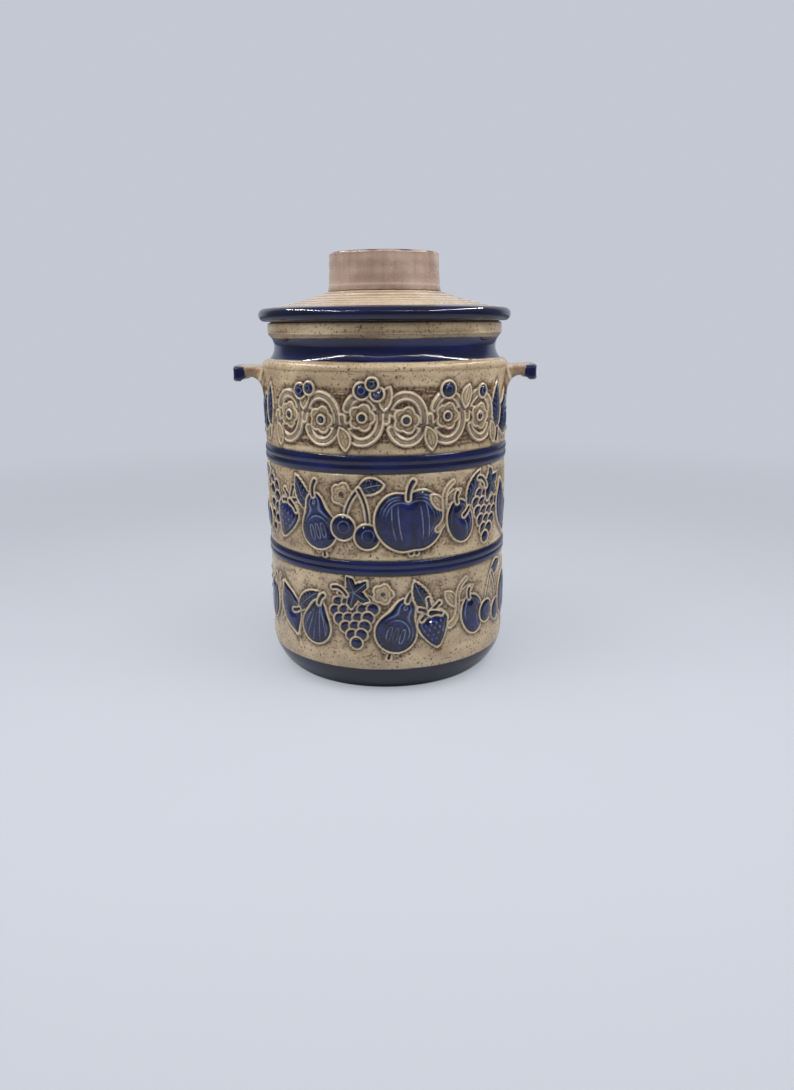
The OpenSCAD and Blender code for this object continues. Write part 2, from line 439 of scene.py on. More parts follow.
def sepals(p, x, y, r, count, reach, tilt, spread):
    """A fan of pointed strokes with dark rounded ends, from (x, y), opening upwards and turned by tilt."""
    for i in range(count):
        share = i / (count - 1) - 0.5
        a = math.radians(90 + tilt - share * spread)
        far = reach * (1 - 0.25 * abs(share) * 2)
        a2 = a - 0.5 * share
        knee = (x + 0.55 * far * math.cos(a), y + 0.55 * far * math.sin(a))
        end = (x + far * math.cos(a2), y + far * math.sin(a2))
        stem(p, curve((x, y), knee, end, count=10), r, 0.55, bead=0.7, blob=0.95)


def speckles(p, d, spacing, size, bright=True):
    """Staggered rows of small marks inside a form."""
    row = np.round(p.v / spacing)
    uu = p.u + 0.5 * spacing * (row % 2)
    du = uu - np.round(uu / spacing) * spacing
    dv = p.v - row * spacing
    dots = bell(np.hypot(du, dv * 0.7), 0, size) * (1 - fade(d, -2.0, -1.2))
    if bright:
        p.blend(dots, ridge_and_highlight=0.85)
        p.add(height=0.3 * dots)
    else:
        p.blend(dots, dark=0.9)
        p.add(height=-0.3 * dots)


# Fruit motifs, each drawn about the middle of its patch

def pear(p, k=1.0):
    """Pear: a large and a small circle melted together, contour lines, stalk and a small star below."""
    d = melt(circle(p.u, p.v, 0, -5 * k, 11 * k), circle(p.u, p.v, 1.2 * k, 10 * k, 4.6 * k), 9 * k)
    sepals(p, 0, -15.5 * k, 0.7, 3, 4.5 * k, 180, 120)
    p.form(d, crown=1.7, puff=9 * k, tone=0.5, rings=(2.4, 5.0))
    for seed in (-1, 0, 1):
        p.rib(oval(p.u, p.v, seed * 3.6 * k, -6 * k, 1.2 * k, 4.2 * k), 0.5, 0.3, 0.9)
    speckles(p, d + 1.5, 3.6 * k, 0.5, False)
    stem(p, curve((1.2 * k, 13.5 * k), (1 * k, 18 * k), (4.5 * k, 21 * k), count=10), 0.9, 1.1)


def apple(p, k=1.0):
    """Apple: a circle with a hollow at the stalk and a shallow one below, contour lines and streaks."""
    r = np.hypot(p.u, p.v * 1.08)
    a = np.arctan2(p.v, p.u)
    top = bell(a, math.pi / 2, 0.42)
    low = bell(a, -math.pi / 2, 0.3)
    size = 19 * k * (1 - 0.2 * top - 0.08 * low)
    d = (r - size) * 0.95
    sepals(p, 0, -15.5 * k, 0.8, 4, 4.8, 180, 130)
    p.form(d, crown=1.75, puff=10 * k, tone=0.55, rings=(2.3, 4.4, 6.8))
    bow = p.u / np.sqrt(np.clip(1 - (p.v / (23 * k)) ** 2, 0.1, 1))
    for place in (-10.0, -6.4, 6.4, 10.0):
        share = (1 - fade(np.abs(p.v + 1), 7 * k, 11 * k)) * (1 - fade(d, -4.0, -3.0))
        p.rib(bow - place * k, 0.45, 0.25, share)
    dip = oval(p.u, p.v, 0, 12.5 * k, 4.6 * k, 2.2 * k)
    p.blend(1 - fade(dip, -1.0, 0.8), dark=0.8, ridge_and_highlight=0.0)
    stem(p, curve((0, 11.5 * k), (0.5, 17 * k), (3.6 * k, 20.5 * k), count=10), 0.9, 1.3)


def plum(p, k=1.0):
    """Plum: an upright oval with a curved seam off its middle."""
    d = oval(p.u, p.v, 0, 0, 9 * k, 12.5 * k)
    p.form(d, crown=1.6, puff=7.5 * k, tone=0.45, rings=(2.3,))
    seam = p.u - 3.2 * k * np.sqrt(np.clip(1 - (p.v / (12.5 * k)) ** 2, 0, 1))
    p.rib(seam, 0.45, 0.3, 1 - fade(d, -1.6, -0.8))
    stem(p, curve((0, 11.5 * k), (-0.5, 15 * k), (2.2, 17 * k), count=8), 0.8, 1.0)


def cherry(p, x, y, r):
    """Cherry: a ball with a pale ring off its middle."""
    d = circle(p.u, p.v, x, y, r)
    p.form(d, crown=1.7, puff=r * 0.95, tone=0.4)
    p.rib(circle(p.u, p.v, x + 0.1 * r, y + 0.12 * r, r * 0.5), 0.4, 0.22, 0.6)


def cherries(p, k=1.0):
    """Two cherries on long stalks that meet at a leaf."""
    leaf(p, (1, 15 * k), (15 * k, 20 * k), 8.5 * k, 1.0, 1.2)
    stem(p, curve((-7 * k, -4 * k), (-6 * k, 8 * k), (1, 16 * k), count=14), 0.6, 0.8)
    stem(p, curve((7.5 * k, -8 * k), (8 * k, 6 * k), (1, 16 * k), count=14), 0.6, 0.8)
    cherry(p, -7.5 * k, -8 * k, 7 * k)
    cherry(p, 7.5 * k, -12 * k, 7 * k)


def berry(p, x, y, r):
    """Berry: a small ball with a pale ring on it, in a bright bead."""
    d = circle(p.u, p.v, x, y, r)
    p.form(d, crown=1.7, puff=r, tone=0.25, bead=1.0)
    p.rib(circle(p.u, p.v, x - 0.2, y + 0.3, r * 0.48), 0.38, 0.25, 0.7)


def grapes(p, k=1.0):
    """Grape bunch: rows of balls that narrow downwards, under a vine leaf."""
    counts = (4, 5, 4, 3, 2, 1)
    for row, n in enumerate(counts):
        y = 7.5 * k - row * 5.1 * k
        for i in range(n):
            x = (i - (n - 1) / 2) * 5.9 * k + 0.5 * math.sin(row * 2.1)
            d = circle(p.u, p.v, x, y, 3.15 * k)
            p.form(d, crown=1.6, puff=3.1 * k, tone=0.4, bead=0.75, wash=0.8)
    vine_leaf(p, 2 * k, 13.5 * k, 9.5 * k, 15)
    stem(p, curve((-3 * k, 12 * k), (-6 * k, 18 * k), (-11 * k, 17 * k), count=10), 0.8, 1.0)


def vine_leaf(p, x, y, r, turn):
    """Vine leaf: a circle whose radius swings with the cosine of five times the angle, a rib to each lobe."""
    uu = p.u - x
    vv = p.v - y
    a = np.arctan2(vv, uu) - math.radians(turn)
    rad = np.hypot(uu, vv)
    size = r * (0.78 + 0.24 * np.cos(5 * (a - math.pi / 2)) + 0.05 * np.cos(15 * a))
    d = (rad - size) * 0.8
    p.form(d, crown=1.0, puff=r * 0.6, tone=0.15)
    inner = 1 - fade(d, -1.2, -0.4)
    fifth = 2 * math.pi / 5
    wedge = (a - math.pi / 2) - np.round((a - math.pi / 2) / fifth) * fifth
    p.rib(rad * np.sin(wedge), 0.4, 0.3, inner)


def strawberry(p, k=1.0):
    """Strawberry: a rounded heart with pips in staggered rows and a collar of leaves."""
    taper = 1 - 0.030 * (p.v / k - 4)
    d = oval(p.u / np.clip(1.05 - 0.035 * (3 - p.v / k), 0.45, 1.1), p.v, 0, 0, 9.6 * k, 12.5 * k)
    d = d * np.clip(2 - taper, 0.8, 1)
    p.form(d, crown=1.7, puff=8 * k, tone=0.5, rings=(2.2,))
    speckles(p, d + 0.6, 3.5 * k, 0.62)
    sepals(p, 0, 10 * k, 1.7, 5, 9.5 * k, 0, 190)


def lemon(p, k=1.0):
    """Lemon: an oval drawn out to a point at both ends, with small pits."""
    nip = bell(np.abs(p.v), 14.5 * k, 3.0 * k) * 2.6 * k
    d = oval(p.u, p.v, 0, 0, 9.4 * k, 13.2 * k)
    d = melt(d, oval(p.u, p.v, 0, 0, 2.6 * k, 17.0 * k), 4.5) - 0.1 * nip
    p.form(d, crown=1.65, puff=8 * k, tone=0.5, rings=(2.4, 4.8))
    speckles(p, d + 1.2, 3.0 * k, 0.5, False)


def fig(p, k=1.0):
    """Fig: a drop with a long neck and fine lines that run from it."""
    d = melt(circle(p.u, p.v, 0, -4 * k, 10.5 * k), circle(p.u, p.v, 0, 10 * k, 2.6 * k), 12 * k)
    p.form(d, crown=1.7, puff=8 * k, tone=0.4, rings=(2.2,))
    a = np.arctan2(p.u, 17 * k - p.v)
    rays = a / 0.17
    gap = np.abs(rays - np.round(rays)) * 0.17 * np.hypot(p.u, 17 * k - p.v)
    p.rib(gap, 0.4, 0.25, (1 - fade(d, -2.2, -1.4)) * 0.8)
    stem(p, curve((0, 12 * k), (0, 15.5 * k), (2.5 * k, 18 * k), count=8), 1.0, 1.2)


def blossom(p, x, y, r):
    """Blossom with a dark eye, in the colour of the ground: its radius swings with the size of the cosine of
    two and a half times the angle, which makes five petals."""
    uu = p.u - x
    vv = p.v - y
    a = np.arctan2(vv, uu)
    size = r * (0.8 + 0.25 * np.abs(np.cos(2.5 * a)))
    d = (np.hypot(uu, vv) - size) * 0.9
    p.form(d, crown=0.9, puff=r * 0.5, paint=0.0, bead=0.7, wash=1.0)
    eye = np.hypot(uu, vv)
    p.blend(bell(eye, 0, r * 0.27), dark=0.9, iron_and_shade=1.0)
    p.rib(eye - r * 0.42, 0.4, 0.25, 0.5)


def currants(p, k=1.0):
    """Currants: a hanging string of small balls either side of a thin stalk, under a leaf."""
    path = curve((0, 16 * k), (3 * k, 4 * k), (-2 * k, -14 * k), count=16)
    leaf(p, (0, 16 * k), (-11 * k, 10 * k), 6.5 * k, 1.0, -0.8)
    stem(p, path, 0.6, 0.5)
    for i, t in enumerate(np.linspace(0.15, 1.0, 9)):
        x, y = path[int(round(t * 15))]
        hand = 1 if i % 2 else -1
        if t > 0.97:
            hand = 0
        r = (3.1 - 0.9 * t) * k
        d = circle(p.u, p.v, x + hand * 3.3 * k, y, r)
        p.form(d, crown=1.5, puff=r, tone=0.35, bead=0.7, wash=0.7)


def twig(p, k=1.0):
    """A bare forked twig of raised clay with two small leaves."""
    leaf(p, (1, 2), (9 * k, 10 * k), 4.8 * k, 0.0, 0.5)
    leaf(p, (-1, -2), (-9 * k, 5 * k), 4.8 * k, 0.0, -0.5)
    path = curve((-2 * k, -13 * k), (8 * k, -4 * k), (-8 * k, 4 * k), (3 * k, 14 * k), count=18)
    stem(p, path, 1.3, 0.5, 0.0)


# The three friezes: each row is (motif, s, z, turn, size)

LOW_FRIEZE = (
    ("twig", -100, 62, 12, 1.05), ("plum", -116, 57, -14, 1.12), ("lemon", -84, 57, 24, 1.0),
    ("leaf", -64, 66, -50, 1.0), ("fig", -55, 53, -10, 1.02), ("grapes", -24, 62, 6, 1.05),
    ("bloom", -2, 78, 0, 1.0), ("pear", 9, 55, -16, 1.15), ("leaf", 29, 72, 30, 1.1),
    ("strawberry", 36, 50, 12, 1.0), ("twig", 56, 66, -14, 1.15), ("plum", 72, 54, 18, 1.05),
    ("cherries", 97, 62, 4, 1.0), ("apple", 134, 57, -6, 1.0), ("leaf", 162, 64, 20, 1.2),
    ("strawberry", 180, 57, -12, 1.1), ("currants", 200, 62, 4, 1.15), ("pear", 223, 56, 12, 1.1),
    ("bloom", 241, 76, 0, 1.0), ("grapes", 256, 60, -6, 1.05), ("plum", 281, 55, -12, 1.1),
    ("leaf", 297, 68, -28, 1.1), ("fig", 314, 55, 14, 1.05), ("cherries", 342, 62, -6, 1.0),
    ("apple", 378, 57, 8, 0.98), ("twig", 404, 64, 8, 1.1), ("lemon", 424, 58, -20, 1.05),
    ("currants", 446, 62, 0, 1.1),
)
MID_FRIEZE = (
    ("currants", -104, 136, 6, 1.15), ("strawberry", -84, 128, -20, 1.08), ("leaf", -63, 146, 30, 1.1),
    ("pear", -52, 130, 14, 1.12), ("bloom", -31, 150, 0, 1.1), ("cherries", -21, 135, -4, 1.02),
    ("apple", 18, 132, 6, 1.12), ("twig", 44, 140, -10, 1.1), ("plum", 58, 128, 14, 1.05),
    ("leaf", 71, 148, -24, 1.05), ("grapes", 88, 134, -6, 1.08), ("lemon", 116, 130, 16, 1.1),
    ("twig", 136, 138, 12, 1.1), ("fig", 155, 130, -12, 1.1), ("cherries", 182, 135, 6, 1.0),
    ("leaf", 206, 144, 26, 1.15), ("pear", 217, 130, -12, 1.12), ("strawberry", 243, 130, 14, 1.1),
    ("bloom", 259, 150, 0, 1.1), ("apple", 281, 132, -8, 1.08), ("currants", 309, 136, -4, 1.15),
    ("plum", 328, 130, -16, 1.12), ("leaf", 345, 146, -30, 1.1), ("grapes", 364, 135, 6, 1.08),
    ("lemon", 391, 130, -18, 1.05), ("twig", 411, 138, -8, 1.1), ("fig", 431, 130, 12, 1.08),
    ("cherries", 460, 135, 4, 1.02),
)
TOP_FRIEZE = (
    ("pear", 118, 203, -8, 0.95), ("leaf", 101, 205, 4, 1.25), ("grapes", 142, 206, 6, 0.95),
    ("twig", 164, 206, -10, 1.0), ("apple", 189, 203, 6, 0.9), ("leaf", 213, 206, -20, 1.1),
    ("cherries", 231, 206, 4, 0.9), ("plum", 258, 203, -12, 0.98), ("bloom", 274, 216, 0, 1.0),
    ("strawberry", 290, 202, 10, 0.98), ("currants", 310, 206, 4, 1.0), ("fig", 332, 203, 8, 0.95),
    ("leaf", 353, 207, 20, 1.1), ("lemon", 371, 203, 20, 0.95), ("apple", 403, 203, -8, 0.9),
    ("twig", 429, 206, 10, 1.0), ("grapes", 448, 206, -4, 0.95), ("plum", 471, 203, 10, 0.95),
    ("leaf", 486, 206, -6, 1.2),
)


def lone_leaf(p, k):
    """A long painted leaf on a short stalk."""
    leaf(p, (0, -11 * k), (0, 13 * k), 9 * k, 1.0, 1.4, toothed=0.5)
    stem(p, curve((0, -10 * k), (-0.5, -13 * k), (-2.5, -15.5 * k), count=8), 0.9, 1.1)


MOTIFS = {
    "pear": pear, "apple": apple, "plum": plum, "cherries": cherries, "grapes": grapes,
    "strawberry": strawberry, "lemon": lemon, "fig": fig, "currants": currants, "twig": twig,
    "leaf": lone_leaf, "bloom": lambda p, k: blossom(p, 0, 0, 5.4 * k),
}


def lay_motifs(frieze, rows):
    """Draws each row of a list of motifs on a frieze."""
    for name, s, z, turn, size in rows:
        full = size * FILL
        MOTIFS[name](Patch(frieze, s, z, turn, 30 * full), full)


# The scroll panel on the front of the top band

PANEL_S = 88.0
PANEL_Z = 202.5
SCROLL_R = 12.5


def ribbon(p, d, width):
    """A raised ribbon of bare clay round d = 0: pale ridges at both edges and a grey hollow between them."""
    near = 1 - fade(d, width + 0.9, width + 1.6)
    pale = bell(d, width, 0.72)
    hollow = 1 - fade(d, width - 1.3, width - 0.5)
    shade = bell(np.maximum(d, width + 1), width + 1.2, 2.2)
    p.blend(shade * (1 - near) * 0.95, iron_and_shade=1.0)
    p.blend(shade * (1 - near), height=-0.42)
    p.blend(near, height=0.55 + 0.85 * pale - 0.25 * hollow, ridge_and_highlight=pale, iron_and_shade=0.0, cobalt=0.13 * hollow,
            dark=0.16 * hollow + 0.5 * bell(d, width - 1.25, 0.4), tone=0.9)


def scroll_panel(frieze):
    """A running scroll of bare clay: a wavy stem, an open ring in each bend with a blossom and a berry in it,
    and leaves between."""
    span = 2 * SCROLL_R + 5.5
    turns = 6
    p = Patch(frieze, 0, PANEL_Z, 0, PANEL_S + 14)
    t = np.linspace(-3, 3, 120)
    wave = np.stack([t * span, 5.5 * np.sin((t + 0.5) * math.pi)], 1)
    best = track(p.u, p.v, wave)[0]
    for i in range(turns):
        x = (i - (turns - 1) / 2) * span
        hand = 1 if i % 2 else -1
        curl = spiral((x, -hand * 1.0), 180, 180 - 335, SCROLL_R + 1.5, SCROLL_R - 1.0, 60)
        curl[:, 1] = (curl[:, 1] + hand * 1.0) * hand * 1.25 - hand * 1.0
        best = np.minimum(best, track(p.u, p.v, curl)[0])
    ribbon(p, best, 2.2)
    for i in range(turns + 1):
        x = (i - turns / 2) * span
        hand = 1 if i % 2 else -1
        leaf(p, (x, hand * 7.0), (x + 3.5, hand * 20.5), 6.5, 0.0, 0.8)
    for i in range(turns):
        x = (i - (turns - 1) / 2) * span
        hand = 1 if i % 2 else -1
        blossom(p, x, hand * -1.0, 7.6)
        berry(p, x, hand * -1.0, 2.2)


BERRIES = (
    (-64.0, 220.5, 4.4), (-55.5, 222.5, 3.6), (-15.0, 221.5, 4.8), (-4.5, 219.5, 3.9),
    (-8.0, 226.0, 3.4), (46.5, 221.5, 5.0), (79.0, 219.0, 3.8),
)


def berries_over(frieze):
    """Loose berries along the top of the scroll panel."""
    for s, z, r in BERRIES:
        berry(Patch(frieze, s, z, 0, 12), 0, 0, r)


def ground(frieze, combed, low_margin, high_margin):
    """The clay between the motifs: combed lines and brown wash, rough in the middle, smooth at the
    margins."""
    s = np.arange(frieze.count) * frieze.step
    s = np.where(s > ROUND / 2, s - ROUND, s)
    z = frieze.z
    above = fade(z, z[0] + low_margin, z[0] + low_margin + 5)
    below = 1 - fade(z, z[-1] - high_margin - 5, z[-1] - high_margin)
    open_z = (above * below)[:, None]
    front = (1 - fade(np.abs(s), PANEL_S + 3, PANEL_S + 9))[None, :] * combed
    comb = frieze.noise(0.95, 16, 1) - 0.5 + 0.5 * (frieze.noise(1.7, 34, 2) - 0.5)
    rough = frieze.noise(1.3, 1.3, 3) - 0.5
    wash = frieze.noise(5, 8, 4)
    lines = np.clip(comb * 3.2, -1, 1)
    frieze.height += open_z * (front * 0.28 * comb + (1 - front) * 0.16 * rough)
    faint = 0.12 * np.clip(frieze.noise(1.1, 60, 5) * 3 - 2.1, 0, 1)
    panel_iron = front * (0.85 - 0.6 * lines + 0.4 * (wash - 0.5))
    plain_iron = (1 - front) * 0.55 * fade(wash + 0.5 * rough, 0.45, 1.0)
    frieze.iron_and_shade += np.clip(open_z * (panel_iron + plain_iron) + faint, 0, 1)


def wear(frieze):
    """Uneven glaze over everything: thick and thin cobalt, pooled dark lines that break up."""
    cloud = frieze.noise(3.2, 3.2, 11)
    fine = frieze.noise(0.9, 0.9, 12)
    frieze.tone = np.clip(frieze.tone + 0.9 * (cloud - 0.5), 0, 1)
    frieze.dark = np.clip(frieze.dark * (0.75 + 0.5 * cloud), 0, 1)
    pooled = 0.8 * frieze.cobalt * fade(frieze.noise(7, 5, 13), 0.45, 0.85)
    frieze.dark = np.maximum(frieze.dark, pooled)
    frieze.ridge_and_highlight = np.clip(frieze.ridge_and_highlight * (0.55 + 0.75 * fine), 0, 1)
    frieze.height += 0.05 * (fine - 0.5)


def edge_shape(frieze, low_rise, high_rise):
    """Radius of the bare band: its ground, swelling out at the margins to meet the cordons and the foot."""
    z = frieze.z
    low_lift = low_rise * (1 - fade(z, z[0] + 2, z[0] + 7))
    high_lift = high_rise * fade(z, z[-1] - 7, z[-1] - 2)
    lift = (BODY_R - GROUND_R) * (low_lift + high_lift)
    return (GROUND_R + lift)[:, None]


def add_frieze(name, frieze, base_r, material, drop_low, drop_high):
    """Wraps a frieze round the jar in closed curved slabs. Each has a carved face, a plain back inside the
    jar's wall and flat ends. drop_low and drop_high round its edges in to the cordon grooves. The texture
    places of its two halves lie one above the other."""
    z = frieze.z
    inset = (GROOVE_R - BODY_R) * (drop_low * bell(z, z[0], 0.9) + drop_high * bell(z, z[-1], 0.9))
    r = np.broadcast_to(base_r, frieze.height.shape) + frieze.height + inset[:, None]
    r = np.clip(r, DEEPEST_R, HIGHEST_R)
    rows = len(z)
    share = frieze.count // SECTORS
    for sector in range(SECTORS):
        first = sector * share - share // 2
        cols = np.arange(first, first + share + 1)
        a = (cols * frieze.step / BODY_R)[None, :]
        pick = cols % frieze.count
        outer = r[:, pick]
        full_r = np.vstack([np.full((1, len(cols)), BACK_R), outer, np.full((1, len(cols)), BACK_R)])
        full_z = np.concatenate([[z[0]], z, [z[-1]]])[:, None] + 0 * a
        points = np.stack([full_r * np.sin(a), -full_r * np.cos(a), full_z], 2).reshape(-1, 3)
        n_rows = rows + 2
        n_cols = len(cols)
        corner_r, corner_c = cells(n_rows + 1, n_cols)
        faces = [(corner_r % n_rows) * n_cols + corner_c]
        strip = 2 * corner_c[:, :1] // (n_cols - 1)
        strip = np.minimum(strip, 1)
        along = (corner_c * 2 / (n_cols - 1)) - strip
        up = np.clip((corner_r - 1) / (rows - 1), 0, 1)
        face_uv = [np.stack([0.004 + 0.992 * along, 0.5 * strip + 0.004 + 0.492 * up], 2)]
        left = (np.arange(n_rows) * n_cols)[None, :]
        right = left[:, ::-1] + n_cols - 1
        faces += [left, right]
        face_uv += [np.full((1, n_rows, 2), 0.002)] * 2
        layers = {}
        for key in LAYERS:
            values = getattr(frieze, key)[:, pick]
            layers[key] = np.vstack([values[:1], values, values[-1:]]).ravel()
        slab = f"{name}_{sector + 1}"
        add_piece(slab, points, faces, face_uv, layers, material, "jar", crease=60)


# Turned pieces

def jar_outline():
    """Half section of the jar: hollow foot, rounded base, cordons, shoulder, neck, collar and inside."""
    reach = math.degrees(math.acos(1 - (COLLAR_R - NECK_R) / COVE_R))
    neck_z = SHOULDER_Z + SHOULDER_R
    cove_h = COVE_R * math.sin(math.radians(reach))
    edge_low = -math.degrees(math.asin(EDGE_Z / EDGE_R))

    def cordon(low, high):
        """Two soft rolls on one low swelling: the groove's radius, plus the size of a whole sine wave to the
        power 0.6, plus half a sine wave."""
        z = np.linspace(low, high, 44)
        t = (z - low) / (high - low)
        rolls = np.abs(np.sin(2 * math.pi * t)) ** 0.6
        return np.stack([GROOVE_R + 0.95 * rolls + 0.5 * np.sin(math.pi * t), z], 1)

    return chain(
        [(0, RECESS_Z)], line((6, RECESS_Z), (FOOT_R - 9.4, RECESS_Z), 6),
        arc((FOOT_R - 7, 1.2), 1.2, 200, 270, 5), line((FOOT_R - 6, 0), (FOOT_R - 1.2, 0), 4),
        arc((BODY_R - EDGE_R, EDGE_Z), EDGE_R, edge_low + 1.5, 0, 60),
        line((SKIN_R, EDGE_Z), (SKIN_R, LOW_CORDON[0]), 6),
        cordon(*LOW_CORDON), line((SKIN_R, LOW_CORDON[1]), (SKIN_R, TOP_CORDON[0]), 5),
        cordon(*TOP_CORDON), line((SKIN_R, TOP_CORDON[1]), (SKIN_R, BAND_TOP_Z), 5),
        arc((BODY_R - SHOULDER_R, SHOULDER_Z), SHOULDER_R, -31, 90, 16),
        line((BODY_R - SHOULDER_R, neck_z), (NECK_R + 4.9, neck_z), 5),
        arc((NECK_R + COVE_R, neck_z + cove_h), COVE_R, 180 + reach, 180 - reach, 46),
        arc((COLLAR_R - 0.8, neck_z + 2 * cove_h + 0.8), 0.8, 270, 360, 5),
        line((COLLAR_R + 0.1, neck_z + 2 * cove_h + 1.4), (COLLAR_R, RIM_Z - 2.2), 8),
        arc((COLLAR_R - RIM_EDGE, RIM_Z - RIM_EDGE), RIM_EDGE, 0, 90, 9),
        arc((MOUTH_R + RIM_EDGE, RIM_Z - RIM_EDGE), RIM_EDGE, 90, 180, 9),
        line((MOUTH_R, RIM_Z - 3), (MOUTH_R, MOUTH_LOW_Z), 5),
        line((INNER_R, INNER_TOP_Z), (INNER_R, 32), 12),
        arc((INNER_R - FLOOR_EDGE_R, FLOOR_Z + FLOOR_EDGE_R), FLOOR_EDGE_R, 0, -90, 16),
        line((60, FLOOR_Z), (6, FLOOR_Z), 5), [(0, FLOOR_Z)],
    )


def wobble(angle, seed, size):
    """A slow uneven line round the pot: a few sine waves with whole numbers of turns."""
    lots = np.random.default_rng(seed)
    out = np.zeros_like(angle)
    for turns in (1, 2, 3, 5, 8, 13, 21, 34):
        out += lots.normal() * np.sin(turns * angle + lots.random() * 6.3) / math.sqrt(turns)
    return out * size


def jar_layers(r, z, a):
    """Brushed cobalt on the foot, cordons and neck, darker where it pools in grooves; bare foot ring. Painted
    shade at the top of the cove and at the foot of the collar, and a painted highlight on the collar's lower
    edge.
    """
    # Outer side: the wall, the neck from just above the shoulder up, and the curve of the foot
    outside = (r > INNER_R + 0.3) | ((z > 238) & (r > 80)) | ((z < 9) & (r > 79))
    foot = (1 - fade(z - wobble(a, 1, 0.22), FOOT_PAINT_Z - 0.35, FOOT_PAINT_Z + 0.35)) * (z > 0.5) * outside
    paint = foot
    pool = np.zeros_like(z)
    for low, high in (LOW_CORDON, TOP_CORDON):
        paint = np.maximum(paint, fade(z, low - 0.6, low) * (1 - fade(z, high, high + 0.6)) * outside)
        pool = np.maximum(pool, bell(z, low + 0.3, 0.9) + bell(z, high - 0.3, 0.9))
    low = NECK_PAINT[0] + wobble(a, 2, 0.25)
    high = NECK_PAINT[1] + wobble(a, 3, 0.28)
    neck = fade(z, low - 0.35, low + 0.35) * (1 - fade(z, high - 0.35, high + 0.35)) * outside
    paint = np.maximum(paint, neck)
    # Painted shade: a faint brown band just above the neck paint, in the top of the cove.
    cove_shade = bell(z, high + 0.8, 1.3) * (z > 250)
    thick = patchy(r.shape[0], r.shape[1], 9, 11, 21)
    collar = (z > 257) * (z < RIM_Z) * outside
    # Painted shade: a patchy brown line along the groove at the foot of the collar.
    brown = collar * np.clip(bell(z, 259.5, 1.6) * 0.55 * fade(thick, 0.3, 0.8), 0, 1)
    inside = ~outside & (z > 5) & (z < 262)
    streaks = patchy(r.shape[0], r.shape[1], 2, 60, 22)
    iron_and_shade = np.clip(brown + 0.16 * cove_shade + 0.22 * inside * streaks, 0, 1)
    foot_bare = (z < 0.5) | ((r < 71) & (z < 5))
    dark_neck = 0.25 * neck * bell(z, high - 1.0, 1.4)
    return {
        "cobalt": paint,
        "tone": np.clip(0.28 + 0.7 * (thick - 0.5) - 0.3 * foot, 0, 1) * (1 - foot_bare),
        "dark": np.clip(0.55 * pool * (paint > 0.3) + 0.16 * foot + dark_neck, 0, 1),
        "iron_and_shade": iron_and_shade,
        # Painted highlight: a pale line along the collar's lower edge.
        "ridge_and_highlight": 0.35 * collar * bell(z, 258.4, 0.7) + 0.25 * inside,
    }


LID_EDGE = 4.8
LID_DEEP = 7.5
UNDER_R = 42.8
TURN_PITCH = 6.6
RINGS_IN_R = 44
FLANGE_IN_R = 69.7
FLANGE_OUT_R = 76.2
FLANGE_EDGE = 1.5
SEAT_IN_R = 76.6
SEAT_OUT_R = 86.6


def lid_outline():
    """Half section of the lid: flat middle, slope, rolled edge, seat and flange. The slope is a straight line
    less a parabola for its sag, plus a cosine wave for the turning rings."""
    edge_z = RIM_Z + 0.7 + LID_EDGE
    edge_r = LID_R - LID_EDGE
    ledge_r = KNOB_R + 1.2
    under_z = LID_TOP_Z - LID_DEEP
    t = np.linspace(0, 1, 110)
    r = mix(edge_r, ledge_r, t)
    sag = -1.4 * 4 * t * (1 - t)
    rings = 0.2 * np.cos(2 * math.pi * (r - ledge_r) / TURN_PITCH)
    rings = rings * fade(t, 0.08, 0.2) * (1 - fade(t, 0.93, 1.0))
    slope = np.stack([r, mix(edge_z + LID_EDGE, LID_TOP_Z, t) + sag - 0.2 + rings], 1)
    return chain(
        [(0, under_z)], line((6, under_z), (UNDER_R, under_z), 5),
        line((FLANGE_IN_R, RIM_Z + 1.6), (FLANGE_IN_R, FLANGE_LOW_Z + 1), 6),
        arc((FLANGE_IN_R + FLANGE_EDGE, FLANGE_LOW_Z + FLANGE_EDGE), FLANGE_EDGE, 180, 270, 5),
        arc((FLANGE_OUT_R - FLANGE_EDGE, FLANGE_LOW_Z + FLANGE_EDGE), FLANGE_EDGE, 270, 360, 5),
        line((FLANGE_OUT_R, FLANGE_LOW_Z + 2), (FLANGE_OUT_R, RIM_Z - 0.6), 5),
        line((SEAT_IN_R, RIM_Z), (SEAT_OUT_R, RIM_Z), 5),
        line((87.3, RIM_Z + 0.7), (88.5, RIM_Z + 0.7), 3),
        arc((edge_r, edge_z), LID_EDGE, -90, 88, 40), slope[1:],
        line((ledge_r - 0.5, LID_TOP_Z - 0.05), (12, LID_TOP_Z), 12), [(0, LID_TOP_Z)],
    )


def lid_layers(r, z, a):
    """Cobalt on the rolled edge with an uneven inner line, brown in the rings, bare clay where it rests."""
    edge = 84.6 + wobble(a, 5, 0.35)
    top = (z > RIM_Z + 0.6) & (r > RINGS_IN_R)
    paint = fade(r, edge - 0.4, edge + 0.4) * (z > RIM_Z + 0.3)
    thick = patchy(r.shape[0], r.shape[1], 12, 13, 31)
    ring = 0.5 + 0.5 * np.cos(2 * math.pi * (r - RINGS_IN_R) / TURN_PITCH + math.pi)
    near_knob = bell(r, KNOB_R + 0.8, 2.0) * top
    fine = patchy(r.shape[0], r.shape[1], 1.6, 90, 33)
    iron_and_shade = top * (0.62 * ring ** 2 * (0.6 + 0.5 * thick) + 0.18 * (fine - 0.3)) + 0.25 * near_knob
    bare = (z < RIM_Z + 0.2) & (r > 69)
    return {
        "cobalt": paint,
        "tone": np.clip(0.15 + 0.5 * (thick - 0.5), 0, 1),
        "dark": np.clip(0.45 * paint + 0.35 * paint * bell(r, edge, 1.6), 0, 1),
        "iron_and_shade": np.clip(iron_and_shade, 0, 1),
        "ridge_and_highlight": np.clip(0.5 * top * (1 - ring) ** 2 + 0.3 * bare, 0, 1) * (1 - paint),
    }


